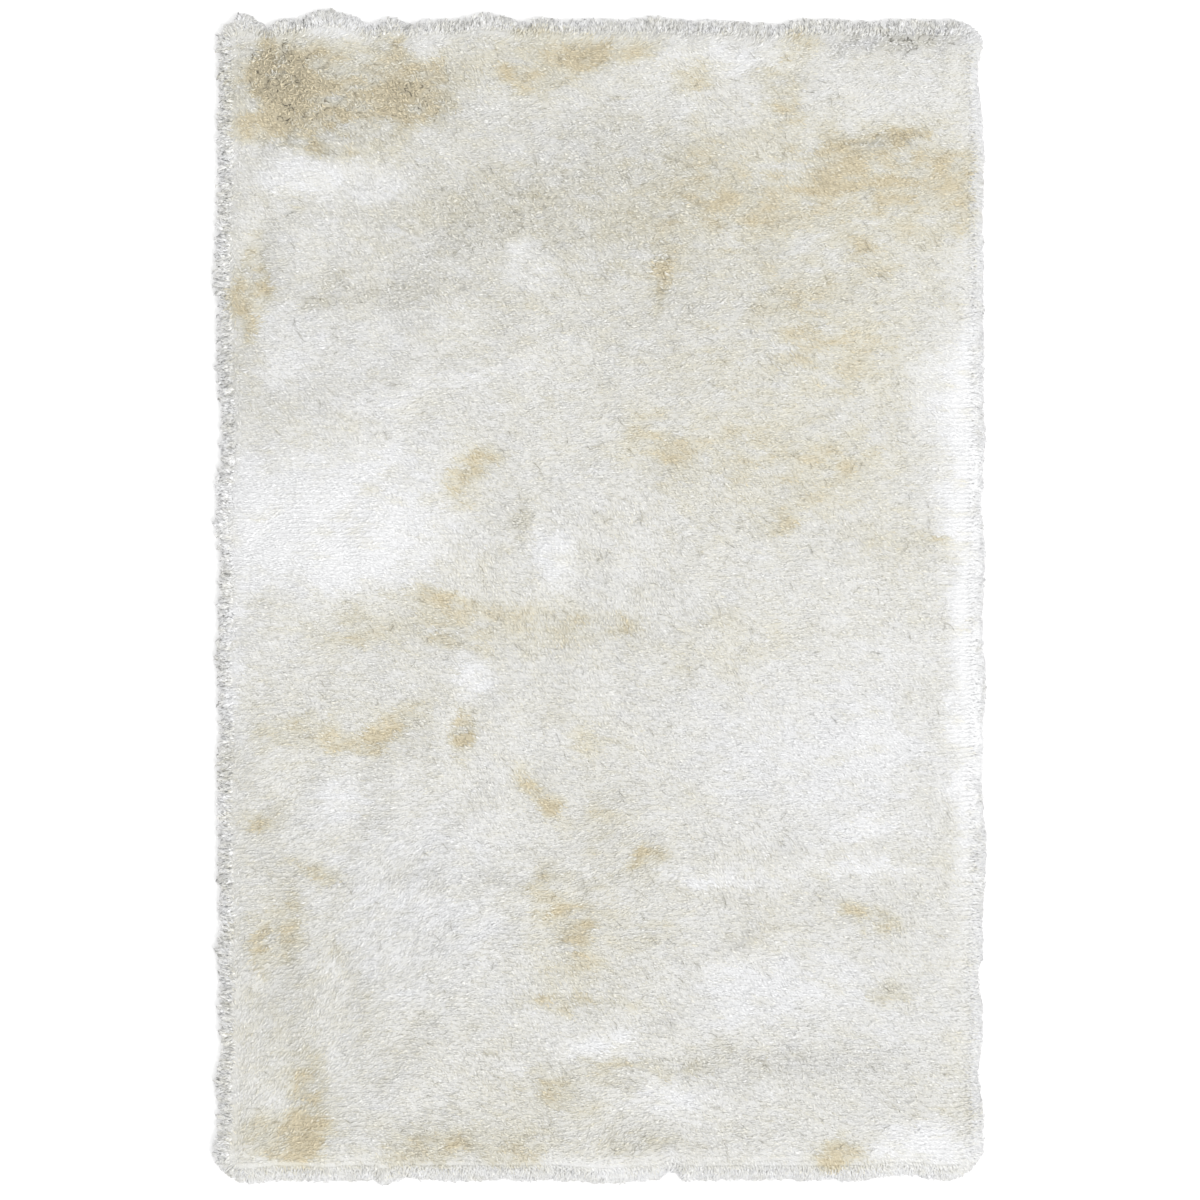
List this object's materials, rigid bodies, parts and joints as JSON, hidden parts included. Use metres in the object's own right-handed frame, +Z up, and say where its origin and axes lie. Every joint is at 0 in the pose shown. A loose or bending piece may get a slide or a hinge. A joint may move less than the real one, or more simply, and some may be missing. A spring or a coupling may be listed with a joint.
{
  "type": "shag rug",
  "caption": "Flat rectangular shag rug of long silky ivory yarn, with a lumpy brushed pile, rounded corners and drooping locks around its rim.",
  "frame": {"origin": "middle of the rug's flat underside, on the surface that it lies on", "axes": "+X across the rug to its right side, +Y along it to its head, +Z up through the pile"},
  "size_m": [1.5406, 2.336, 0.0515],
  "materials": {
    "pile": "long silky ivory yarn, glossy where it lies flat and creamier where it is matted"
  },
  "bodies": {
    "root": {"shag_rug": "pile"}
  },
  "joints": []
}
